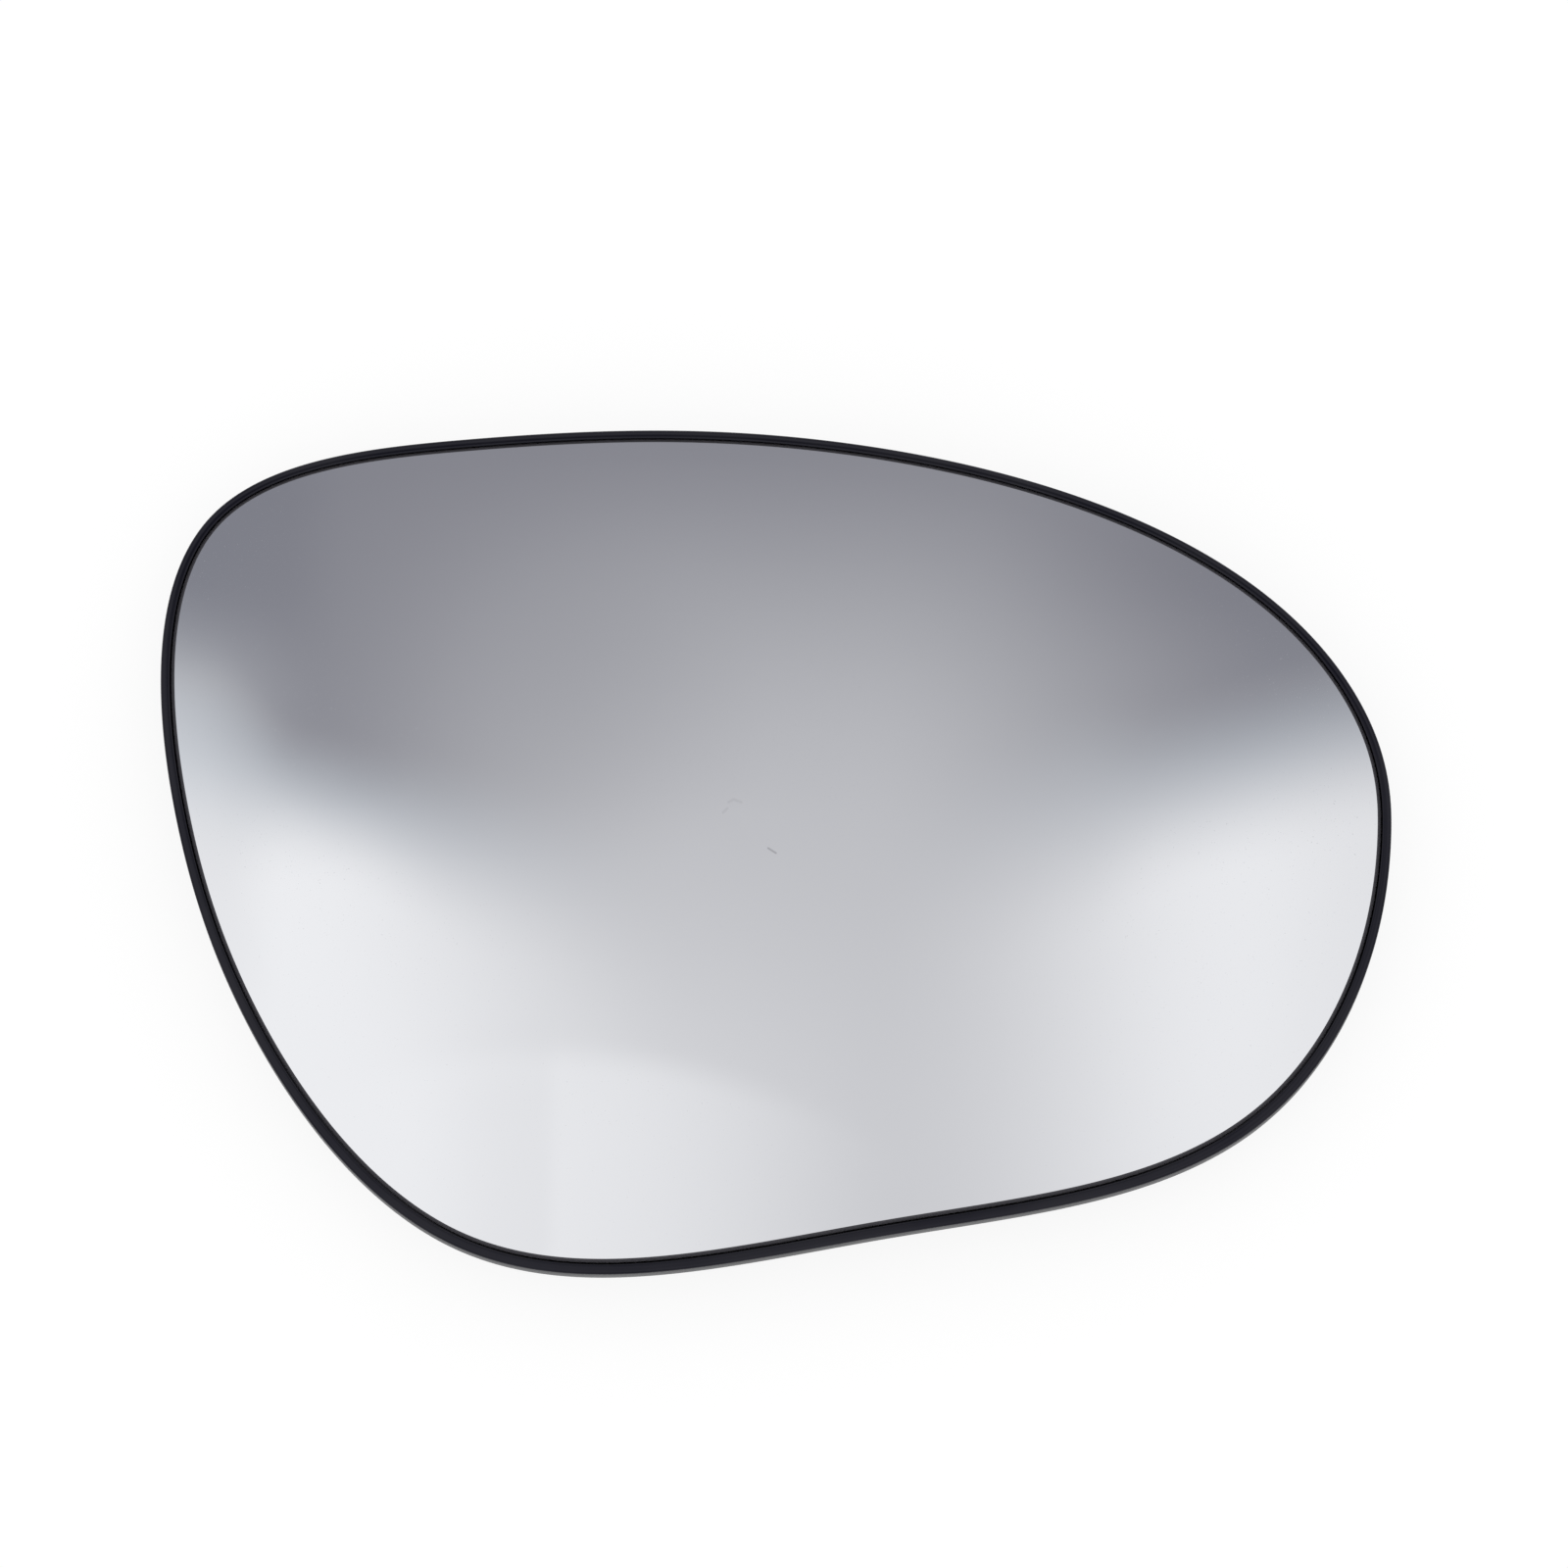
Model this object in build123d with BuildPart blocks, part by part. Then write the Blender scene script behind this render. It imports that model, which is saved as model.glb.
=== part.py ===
"""Car door mirror glass: a convex heated pane bonded into a moulded backing plate, whose clip ring
holds the carrier disc of the mirror's adjuster.

Millimetres. +Z points out of the glass, +X to the right and +Y up as the glass is looked at.
The origin is on the clip ring's axis, in the plane of the ring's free end, on which the part lies.
"""
from build123d import *
import math
import os

os.makedirs("parts", exist_ok=True)

# Outer edge of the rim, anticlockwise from its right-hand end, where it runs straight up.
RIM_POINTS = [
    (91.7, 2.4),
    (86.9, 20.1),
    (7.2, 57.8),
    (-42.4, 57.7),
    (-79.2, 46.5),
    (-83.3, 0.1),
    (-77.1, -19.4),
    (-43.6, -59.6),
    (18.6, -58.3),
    (73.1, -41.6),
]
RIGHT_END_TANGENT = (0, 1)
RIGHT_END_FULLNESS = 1.15  # how strongly the edge keeps to that direction there
RIM_SPANS = 15  # equal lengths of the edge, each made of two tangent arcs

# Layers from the front, all on spheres about one centre.
GLASS_RADIUS = 1260.0  # convex front of the pane
GLASS_THICKNESS = 2.0
PAD_THICKNESS = 0.6  # heater foil with its adhesive
SHEET_THICKNESS = 2.0  # moulded sheet behind the pad

# Rim around the pane.
RIM_WIDTH = 1.2
RIM_LIP = 0.4  # how far the rim stands in front of the glass
RIM_FRONT_BEVEL = 0.5
RIM_INNER_BEVEL = 0.2  # towards the pane
RIM_BACK_BEVEL = 0.3
GLASS_GAP = 0.2  # between the pane's edge and the rim
GLASS_ARRIS = 0.45  # ground edge of the pane
PAD_MARGIN = 2.0  # pad's edge inside the pane's edge

# Clip ring on the back: a guard wall around a circle of snap claws.
RING_DEPTH = 10.0  # from the ring's free end to the sheet's back, on the axis
LIP_RADIUS = 30.0  # circle on which the claws' lips hold the carrier disc
LIP_DEPTH = 1.0
LIP_LAND = 0.8  # straight height of a lip
LIP_LEAD = 1.0  # height of the sloping lead-in below the land
LIP_SHELF_RISE = 0.3  # slope of the holding face, so that the disc can be pulled off
CLAW_COUNT = 8
CLAW_THICKNESS = 1.2
CLAW_ANGLE = 24.0  # of the circle taken by one claw
CLAW_SETBACK = 0.8  # claw tip inside the ring's free end
CLAW_PLAY = 1.4  # room for a claw to bend outwards
WINDOW_CLEARANCE = 0.3  # around a lip, in the window above it
GUARD_WALL = 1.8
GUARD_BEVEL = 0.4  # at the free end

# Seat for the carrier disc inside the ring.
DISC_FLANGE = 3.2  # between the lips and the seat
SEAT_RIB = 1.4
HUB_RADIUS = 13.0  # outside of the round rib that joins the seat ribs

# Stiffening ribs on the sheet's back.
RIB_COUNT = 12
RIB_THICKNESS = 1.3
RIB_HEIGHT = 3.0
EDGE_RIB_INSET = 6.0  # of the rib that follows the rim, from the rim's edge
GUSSET_LENGTH = 9.0  # along the sheet, from the guard wall
GUSSET_HEIGHT = 7.0  # along the guard wall

# Blade terminals of the heater, left of the ring, one above the other.
TERMINAL_X = -50.0
TERMINAL_SPACING = 13.0
BLADE_WIDTH = 6.3
BLADE_THICKNESS = 0.8
BLADE_LENGTH = 9.5  # from the pad to the tip
BLADE_POINT = 1.2  # chamfer at the tip's corners
BEND_INNER_RADIUS = 0.4  # between the blade and its foot
BLADE_HOLE = 1.8
BLADE_HOLE_FROM_TIP = 3.0
FOOT_LENGTH = 6.5  # along the pad, from the blade's front face
RIVET_RADIUS = 1.4
RIVET_HEIGHT = 0.5
TERMINAL_WINDOW_CLEARANCE = 1.2

# Radii and heights that follow from the sizes above.
PAD_FRONT_RADIUS = GLASS_RADIUS - GLASS_THICKNESS
SHEET_FRONT_RADIUS = PAD_FRONT_RADIUS - PAD_THICKNESS
SHEET_BACK_RADIUS = SHEET_FRONT_RADIUS - SHEET_THICKNESS
SHEET_MIDDLE_RADIUS = SHEET_BACK_RADIUS + SHEET_THICKNESS / 2
LAYER_CENTRE_Z = RING_DEPTH - SHEET_BACK_RADIUS
STOCK_HEIGHT = LAYER_CENTRE_Z + GLASS_RADIUS + 2 * RIM_LIP
CLAW_INNER_RADIUS = LIP_RADIUS + LIP_DEPTH
CLAW_OUTER_RADIUS = CLAW_INNER_RADIUS + CLAW_THICKNESS
GUARD_INNER_RADIUS = CLAW_OUTER_RADIUS + CLAW_PLAY
GUARD_OUTER_RADIUS = GUARD_INNER_RADIUS + GUARD_WALL
LAND_Z = CLAW_SETBACK + LIP_LEAD
SHELF_Z = LAND_Z + LIP_LAND
SEAT_Z = SHELF_Z + LIP_SHELF_RISE + DISC_FLANGE
GUARD_MIDDLE_RADIUS = (GUARD_INNER_RADIUS + GUARD_OUTER_RADIUS) / 2
CLAW_PITCH = 360 / CLAW_COUNT
RIB_PITCH = 360 / RIB_COUNT
RIM_REACH = max(math.hypot(x, y) for x, y in RIM_POINTS)
TERMINAL_Y = [-TERMINAL_SPACING / 2, TERMINAL_SPACING / 2]


def rim_line(inset):
    """Closed chain of tangent arcs, inside the rim's outer edge at a distance of inset."""
    guide = Spline(
        *RIM_POINTS,
        RIM_POINTS[0],
        tangents=(RIGHT_END_TANGENT, RIGHT_END_TANGENT),
        tangent_scalars=(RIGHT_END_FULLNESS, RIGHT_END_FULLNESS),
        mode=Mode.PRIVATE,
    )
    for number in range(RIM_SPANS):
        start = guide.position_at(number / RIM_SPANS)
        start_way = guide.tangent_at(number / RIM_SPANS)
        end = guide.position_at((number + 1) / RIM_SPANS)
        end_way = guide.tangent_at((number + 1) / RIM_SPANS)
        chord = end - start
        spread = 2 * (1 - start_way.dot(end_way))
        along = chord.dot(start_way + end_way)
        reach = (math.sqrt(along**2 + spread * chord.dot(chord)) - along) / spread
        middle = (start + end + (start_way - end_way) * reach) / 2
        middle_way = TangentArc(start, middle, tangent=start_way, mode=Mode.PRIVATE).tangent_at(1)
        start += start_way.rotate(Axis.Z, 90) * inset
        middle += middle_way.rotate(Axis.Z, 90) * inset
        end += end_way.rotate(Axis.Z, 90) * inset
        TangentArc(start, middle, tangent=start_way)
        TangentArc(middle, end, tangent=middle_way)


def layer_ball(layer_radius, mode):
    """Ball whose top is one face of a layer, with its poles turned away from that face."""
    with Locations((0, 0, LAYER_CENTRE_Z)):
        Sphere(layer_radius, rotation=(90, 0, 0), mode=mode)


def layer_z(layer_radius, distance):
    """Height of a layer's face at a distance from the ring's axis."""
    return LAYER_CENTRE_Z + math.sqrt(layer_radius**2 - distance**2)


# Convex mirror pane.
with BuildPart() as mirror_glass:
    with BuildSketch():
        with BuildLine():
            rim_line(RIM_WIDTH + GLASS_GAP)
        make_face()
    extrude(amount=STOCK_HEIGHT)
    layer_ball(GLASS_RADIUS, Mode.INTERSECT)
    layer_ball(PAD_FRONT_RADIUS, Mode.SUBTRACT)
    chamfer(mirror_glass.edges().filter_by(GeomType.LINE, reverse=True), GLASS_ARRIS)
mirror_glass.part.label = "mirror_glass"
export_step(mirror_glass.part, "parts/mirror_glass.step")

# Heater foil, stuck to the pane in front and to the sheet behind.
with BuildPart() as heater_pad:
    with BuildSketch():
        with BuildLine():
            rim_line(RIM_WIDTH + GLASS_GAP + PAD_MARGIN)
        make_face()
    extrude(amount=STOCK_HEIGHT)
    layer_ball(PAD_FRONT_RADIUS, Mode.INTERSECT)
    layer_ball(SHEET_FRONT_RADIUS, Mode.SUBTRACT)
heater_pad.part.label = "heater_pad"
export_step(heater_pad.part, "parts/heater_pad.step")

# Two blade terminals, each with a foot riveted to the back of the foil.
with BuildPart() as heater_terminals:
    for y in TERMINAL_Y:
        seat = Vector(TERMINAL_X, y, layer_z(SHEET_FRONT_RADIUS, math.hypot(TERMINAL_X, y)))
        out_of_foil = seat - Vector(0, 0, LAYER_CENTRE_Z)
        along_foil = Vector(0, 1, 0).cross(out_of_foil)
        section = Plane(origin=seat, x_dir=along_foil, z_dir=out_of_foil.cross(along_foil))
        with BuildSketch(section):
            with BuildLine():
                Polyline(
                    (0, 0),
                    (0, BLADE_LENGTH),
                    (-BLADE_THICKNESS, BLADE_LENGTH),
                    (-BLADE_THICKNESS, BLADE_THICKNESS),
                    (-FOOT_LENGTH, BLADE_THICKNESS),
                    (-FOOT_LENGTH, 0),
                    close=True,
                )
            make_face()
            bend_outside = vertices().sort_by_distance((0, 0))[0]
            fillet(bend_outside, BEND_INNER_RADIUS + BLADE_THICKNESS)
            bend_inside = vertices().sort_by_distance((-BLADE_THICKNESS, BLADE_THICKNESS))[0]
            fillet(bend_inside, BEND_INNER_RADIUS)
        extrude(amount=BLADE_WIDTH / 2, both=True)
        tip = heater_terminals.faces(Select.LAST).sort_by(Axis.Z)[0]
        chamfer(tip.edges().sort_by(SortBy.LENGTH)[:2], BLADE_POINT)
        lock_hole = section.from_local_coords((0, BLADE_LENGTH - BLADE_HOLE_FROM_TIP, 0))
        with BuildSketch(Plane(origin=lock_hole, z_dir=section.x_dir)):
            Circle(BLADE_HOLE / 2)
        extrude(amount=2 * BLADE_THICKNESS, both=True, mode=Mode.SUBTRACT)
        rivet = section.from_local_coords((-(FOOT_LENGTH + BLADE_THICKNESS) / 2, BLADE_THICKNESS, 0))
        with BuildSketch(Plane(origin=rivet, z_dir=section.y_dir)):
            Circle(RIVET_RADIUS)
        extrude(amount=RIVET_HEIGHT)
    layer_ball(SHEET_FRONT_RADIUS, Mode.INTERSECT)
heater_terminals.part.label = "heater_terminals"
export_step(heater_terminals.part, "parts/heater_terminals.step")

# Room for the pane and its pad inside the rim.
with BuildPart() as pane_room:
    with BuildSketch():
        with BuildLine():
            rim_line(RIM_WIDTH)
        make_face()
    extrude(amount=STOCK_HEIGHT)
    layer_ball(SHEET_FRONT_RADIUS, Mode.SUBTRACT)

# Windows through the sheet: one above each claw's lip, and one for each terminal.
with BuildPart() as windows:
    margin = math.degrees(WINDOW_CLEARANCE / LIP_RADIUS)
    for number in range(CLAW_COUNT):
        with BuildSketch(Plane.XZ.rotated((0, 0, number * CLAW_PITCH - CLAW_ANGLE / 2 - margin))):
            with BuildLine():
                Polyline(
                    (LIP_RADIUS - WINDOW_CLEARANCE, SEAT_Z),
                    (CLAW_INNER_RADIUS, SEAT_Z),
                    (CLAW_INNER_RADIUS, STOCK_HEIGHT),
                    (LIP_RADIUS - WINDOW_CLEARANCE, STOCK_HEIGHT),
                    close=True,
                )
            make_face()
        revolve(axis=Axis.Z, revolution_arc=CLAW_ANGLE + 2 * margin)
    with BuildSketch():
        with Locations(*[(TERMINAL_X - FOOT_LENGTH / 2, y) for y in TERMINAL_Y]):
            Rectangle(
                FOOT_LENGTH + 2 * TERMINAL_WINDOW_CLEARANCE,
                BLADE_WIDTH + 2 * TERMINAL_WINDOW_CLEARANCE,
            )
    extrude(amount=STOCK_HEIGHT)

# Stiffening on the sheet's back: spokes from the clip ring to a rib that follows the rim.
with BuildPart() as ribs:
    with BuildSketch():
        with PolarLocations(0, RIB_COUNT, start_angle=RIB_PITCH / 2):
            Rectangle(RIM_REACH, RIB_THICKNESS, align=(Align.MIN, Align.CENTER))
        with BuildLine():
            rim_line(EDGE_RIB_INSET + RIB_THICKNESS / 2)
        make_face(mode=Mode.INTERSECT)
        Circle(GUARD_MIDDLE_RADIUS, mode=Mode.SUBTRACT)
    with BuildSketch():
        with BuildLine():
            rim_line(EDGE_RIB_INSET)
        make_face()
        with BuildLine():
            rim_line(EDGE_RIB_INSET + RIB_THICKNESS)
        make_face(mode=Mode.SUBTRACT)
    extrude(amount=STOCK_HEIGHT)
    layer_ball(SHEET_MIDDLE_RADIUS, Mode.INTERSECT)
    layer_ball(SHEET_BACK_RADIUS - RIB_HEIGHT, Mode.SUBTRACT)

# Clip ring: guard wall with its gussets, snap claws, and the ribs that the carrier disc seats on.
with BuildPart() as clip_ring:
    with BuildSketch():
        Circle(GUARD_OUTER_RADIUS)
        Circle(GUARD_INNER_RADIUS, mode=Mode.SUBTRACT)
    extrude(amount=STOCK_HEIGHT)
    free_end = clip_ring.faces().sort_by(Axis.Z)[0]
    chamfer(free_end.edges(), GUARD_BEVEL)
    with BuildSketch(Plane.XY.offset(SEAT_Z)):
        with PolarLocations(0, CLAW_COUNT, start_angle=CLAW_PITCH / 2):
            Rectangle(GUARD_MIDDLE_RADIUS, SEAT_RIB, align=(Align.MIN, Align.CENTER))
        Circle(HUB_RADIUS)
        Circle(HUB_RADIUS - SEAT_RIB, mode=Mode.SUBTRACT)
    extrude(amount=STOCK_HEIGHT)
    for number in range(CLAW_COUNT):
        with BuildSketch(Plane.XZ.rotated((0, 0, number * CLAW_PITCH - CLAW_ANGLE / 2))):
            with BuildLine():
                Polyline(
                    (CLAW_INNER_RADIUS, STOCK_HEIGHT),
                    (CLAW_OUTER_RADIUS, STOCK_HEIGHT),
                    (CLAW_OUTER_RADIUS, CLAW_SETBACK),
                    (CLAW_INNER_RADIUS, CLAW_SETBACK),
                    (LIP_RADIUS, LAND_Z),
                    (LIP_RADIUS, SHELF_Z),
                    (CLAW_INNER_RADIUS, SHELF_Z + LIP_SHELF_RISE),
                    close=True,
                )
            make_face()
        revolve(axis=Axis.Z, revolution_arc=CLAW_ANGLE)
    gusset_foot = layer_z(SHEET_BACK_RADIUS, GUARD_OUTER_RADIUS) - GUSSET_HEIGHT
    gusset_end = GUARD_OUTER_RADIUS + GUSSET_LENGTH
    for number in range(RIB_COUNT):
        with BuildSketch(Plane.XZ.rotated((0, 0, (number + 0.5) * RIB_PITCH))):
            with BuildLine():
                Polyline(
                    (GUARD_MIDDLE_RADIUS, gusset_foot),
                    (GUARD_OUTER_RADIUS, gusset_foot),
                    (gusset_end, layer_z(SHEET_BACK_RADIUS, gusset_end)),
                    (gusset_end, STOCK_HEIGHT),
                    (GUARD_MIDDLE_RADIUS, STOCK_HEIGHT),
                    close=True,
                )
            make_face()
        extrude(amount=RIB_THICKNESS / 2, both=True)
    layer_ball(SHEET_MIDDLE_RADIUS, Mode.INTERSECT)

# Backing plate, moulded in one piece.
with BuildPart() as backing_plate:
    with BuildSketch():
        with BuildLine():
            rim_line(0)
        make_face()
    extrude(amount=STOCK_HEIGHT)
    layer_ball(GLASS_RADIUS + RIM_LIP, Mode.INTERSECT)
    layer_ball(SHEET_BACK_RADIUS, Mode.SUBTRACT)
    back = backing_plate.faces().filter_by(GeomType.SPHERE).sort_by(Axis.Z)[0]
    chamfer(back.outer_wire().edges(), RIM_BACK_BEVEL)
    front = backing_plate.faces().filter_by(GeomType.SPHERE).sort_by(Axis.Z)[-1]
    chamfer(front.outer_wire().edges(), RIM_FRONT_BEVEL)
    add(pane_room.part, mode=Mode.SUBTRACT)
    front = backing_plate.faces().filter_by(GeomType.SPHERE).sort_by(SortBy.AREA)[0]
    chamfer(front.inner_wires()[0].edges(), RIM_INNER_BEVEL)
    add(windows.part, mode=Mode.SUBTRACT)
    add([ribs.part, clip_ring.part])
backing_plate.part.label = "backing_plate"
export_step(backing_plate.part, "parts/backing_plate.step")
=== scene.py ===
"""Car door mirror glass in a white studio: a convex silvered pane in a black moulded backing plate.

Metres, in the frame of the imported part: +Z points out of the glass, +X to the right and +Y up as the
glass is looked at, and the free end of the clip ring on the back lies on z = 0.
"""
import math
from functools import lru_cache

import bmesh
import bpy
import numpy as np
from bpy.props import FloatProperty, FloatVectorProperty, IntProperty, PointerProperty
from mathutils import Euler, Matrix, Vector


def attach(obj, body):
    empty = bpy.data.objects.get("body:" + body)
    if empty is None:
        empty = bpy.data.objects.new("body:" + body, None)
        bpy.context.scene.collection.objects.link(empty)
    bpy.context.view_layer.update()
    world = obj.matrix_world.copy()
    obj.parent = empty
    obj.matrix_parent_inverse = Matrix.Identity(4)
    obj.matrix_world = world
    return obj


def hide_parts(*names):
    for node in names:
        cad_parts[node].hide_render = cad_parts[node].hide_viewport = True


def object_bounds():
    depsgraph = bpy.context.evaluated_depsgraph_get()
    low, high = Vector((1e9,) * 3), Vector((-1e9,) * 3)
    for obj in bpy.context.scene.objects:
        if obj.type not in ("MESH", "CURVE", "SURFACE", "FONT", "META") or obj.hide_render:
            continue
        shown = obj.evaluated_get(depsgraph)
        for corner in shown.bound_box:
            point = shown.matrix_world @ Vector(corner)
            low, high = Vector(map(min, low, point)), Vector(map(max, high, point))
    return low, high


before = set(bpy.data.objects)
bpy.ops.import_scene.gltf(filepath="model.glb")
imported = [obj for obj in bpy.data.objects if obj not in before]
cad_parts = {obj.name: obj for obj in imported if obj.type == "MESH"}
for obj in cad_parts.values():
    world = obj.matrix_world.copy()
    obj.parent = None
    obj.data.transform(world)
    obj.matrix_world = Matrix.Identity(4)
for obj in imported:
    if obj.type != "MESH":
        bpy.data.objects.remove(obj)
CAD_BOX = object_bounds()

bl_info = {
    "name": "Car door mirror glass",
    "version": (1, 0, 0),
    "blender": (4, 5, 0),
    "location": "3D View > Sidebar > Mirror glass",
    "description": "Builds a silvered pane, its moulded backing plate and the studio around them",
    "category": "Object",
}

# Outer edge of the rim, anticlockwise from its right-hand end, where it runs straight up.
RIM_POINTS = [
    (0.0917, 0.0024),
    (0.0869, 0.0201),
    (0.0072, 0.0578),
    (-0.0424, 0.0577),
    (-0.0792, 0.0465),
    (-0.0833, 0.0001),
    (-0.0771, -0.0194),
    (-0.0436, -0.0596),
    (0.0186, -0.0583),
    (0.0731, -0.0416),
]
RIGHT_END_TANGENT = (0.0, 1.0)
RIGHT_END_FULLNESS = 1.15  # how strongly the edge keeps to that direction there
RIM_REACH = max(math.hypot(x, y) for x, y in RIM_POINTS)

# Fineness of the meshes.
RIM_STEPS = 480  # around the rim
GUIDE_STEPS = 400  # between two points of the rim
ROUND_STEPS = 6  # in a quarter turn of a rounded edge
SOFT_STEPS = 3  # across a softened edge
FACE_RINGS = 24  # from the middle of a face to its edge
TURN_STEPS = 144  # in a whole turn
ARC_STEP = math.radians(2.5)  # in part of a turn
SHARP_ANGLE = math.radians(35)  # between two faces, from which their edge is sharp
ROUND_PROFILE = 0.5  # of a bevel
HIDDEN_STEP = 0.00005  # keeps walls apart that would otherwise lie in one surface

# Fibres and dust on the glass: where each fibre starts and ends, and how strongly they show.
CLEAR_FIBRE = ((0.0017, -0.0023), (0.0028, -0.0030))
CLEAR_FIBRE_WIDTH = 0.00022
CLEAR_FIBRE_SHADE = 0.5
FAINT_FIBRES = (
    ((-0.0040, 0.0044), (-0.0033, 0.0048)),
    ((-0.0033, 0.0048), (-0.0022, 0.0044)),
    ((-0.0048, 0.0029), (-0.0042, 0.0035)),
)
FAINT_FIBRE_WIDTH = 0.0003
FAINT_FIBRE_SHADE = 0.14
DUST_SHADE = 0.06

# Finishes. Here and below, a pair of places is where something begins and where it is whole.
GROUND_GLINT = 1.6  # how much brighter the brightest ground grains are
RIM_SIDE_ROUGHNESS = 0.36
RIM_FRONT_ROUGHNESS = 0.10
RIM_FRONT = (0.1, 0.5)  # upward part of the normal
GRAINED_BACK = (0.0008, 0.0003)  # height above the sheet's back
TRACK_SCALE = 105  # of the waves that space the heating tracks
TRACK_EDGE = (0.35, 0.42)  # height of a wave

# White tent around the object, by the upward part of a direction.
TENT_PANELS = 12
WALL_FOOT = (0.05, 0.3)
WALL_TOP = (0.72, 0.5)
WALL_SHADE = 0.2
SEAM = (-0.9, 1.0)  # cosine across a panel
SEAM_SHADE = 0.3
BELOW = (-0.4, -0.95)
BELOW_SHADE = 0.5
SHADE_TINT = (0.0, 0.0, 0.04)
COLD_TINT = (0.91, 0.94, 0.965)

# Roof of the tent as the pane mirrors it. Places are slopes of a direction from straight up: u to the right,
# and v away from the camera.
LEAST_HEIGHT = 0.02  # keeps the slopes finite
ROOF_END = (0.35, 0.65)  # from straight up, to where the walls are whole
CLOTH_LIGHT = 0.995
CLOTH_PATCHES = {
    "front cloth": ((0.177, -0.26), (0.162, 0.035)),
    "left panel": ((-0.132, -0.243), (0.22, 0.173)),
}
GAP_LIGHT = 0.401  # grey gap in the cloth, through which the camera looks in
GAP_FALL = 0.52  # loss of light towards its far end
GAP_START = 0.0987
GAP_SLANT = 0.33  # of its near edge, to both sides
GAP_RIGHT_STEP = 0.0118  # its right-hand half lies further back
GAP_LEFT_STEP = 0.002
GAP_SOFTNESS = 0.033  # of its near edge
RIGHT_SOFTER = 0.008
RIGHT_SOFT_START = (0.04, 0.08)
RIGHT_SOFT_END = (0.12, 0.095)
FAR_LEFT = (-0.09, -0.125)
FAR_LEFT_SHARPER = 0.007
LEFT_END = (-0.142, -0.168)
LEFT_END_SOFTER = 0.018
POST_U = 0.0044  # pale post in the middle of the gap
POST_SIDE = (0.1524, 0.0225)
POST_LIGHT = 0.596
POST_FALL = 0.37
POST_FADE = (0.13, 0.30)
COLD_EDGE = 7.0  # how far the light turns cold along the gap's near edge
COLD_ENDS = (0.1, 0.24)  # from the post's middle
SHEET_SLANT = 0.355  # folded sheet in front of the gap
SHEET_BEND = 2.65
SHEET_EDGE = (0.0635, 0.0509)
SHEET_END = (0.047, -0.047)
SHEET_SHARE = 0.514
FOLD_SOFT_SIDE = (-0.111, -0.075)
FOLD_SHARP_SIDE = (-0.0603, -0.0671)
FOLD_END = (0.09, 0.05)
FOLD_SHADE = 0.053
BESIDE_POST = (-0.044, 0.177)
BESIDE_POST_REACH = (0.055, 0.005)
BESIDE_POST_SHADE = 0.1
SHADE_PATCHES = {
    "right corner": (0.13, (0.06, 0.13), (0.185, 0.225)),
    "left corner": (0.08, (-0.125, -0.15), (0.18, 0.215)),
    "left end": (0.07, (-0.145, -0.165), (0.155, 0.12)),
}
RIGHT_SHADE = 0.28
RIGHT_SHADE_PLACE = (0.103, 0.293)

# Floor and camera.
FLOOR_COLOUR = (0.95, 0.95, 0.95, 1.0)
FLOOR_GLOW = 1.03
FLOOR_WHITENESS = 0.82  # share of plain white, of which the rest shows the shadow
SENSOR_WIDTH = 36.0  # millimetres
CLIP_DISTANCES = 10  # how many camera distances the view reaches


def length(name, value, description):
    """A size in metres."""
    return FloatProperty(
        name=name, description=description, default=value, min=0.0, precision=5, unit="LENGTH"
    )


def spot(name, value, description):
    """A place in a plane, in metres."""
    return FloatVectorProperty(
        name=name, description=description, default=value, size=2, precision=5, unit="LENGTH"
    )


def angle(name, value, description):
    """An angle given in degrees."""
    return FloatProperty(name=name, description=description, default=math.radians(value), subtype="ANGLE")


def colour(name, value, description):
    """A scene-linear colour."""
    return FloatVectorProperty(
        name=name, description=description, default=value, size=3, min=0.0, max=1.0, subtype="COLOR"
    )


class PaneSizes(bpy.types.PropertyGroup):
    """Layers of the pane, all on balls about one centre."""

    glass_radius: length("Glass radius", 1.26, "Radius of the pane's convex front")
    glass_thickness: length("Glass thickness", 0.002, "Thickness of the glass")
    pad_thickness: length("Pad thickness", 0.0006, "Heater foil with its adhesive")
    gap: length("Gap", 0.0002, "Between the pane's edge and the rim")
    arris: length("Arris", 0.0005, "Ground edge of the pane")
    seat_rise: length("Seat rise", 0.00015, "How far above the middle of its recess the pane was glued")


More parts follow.
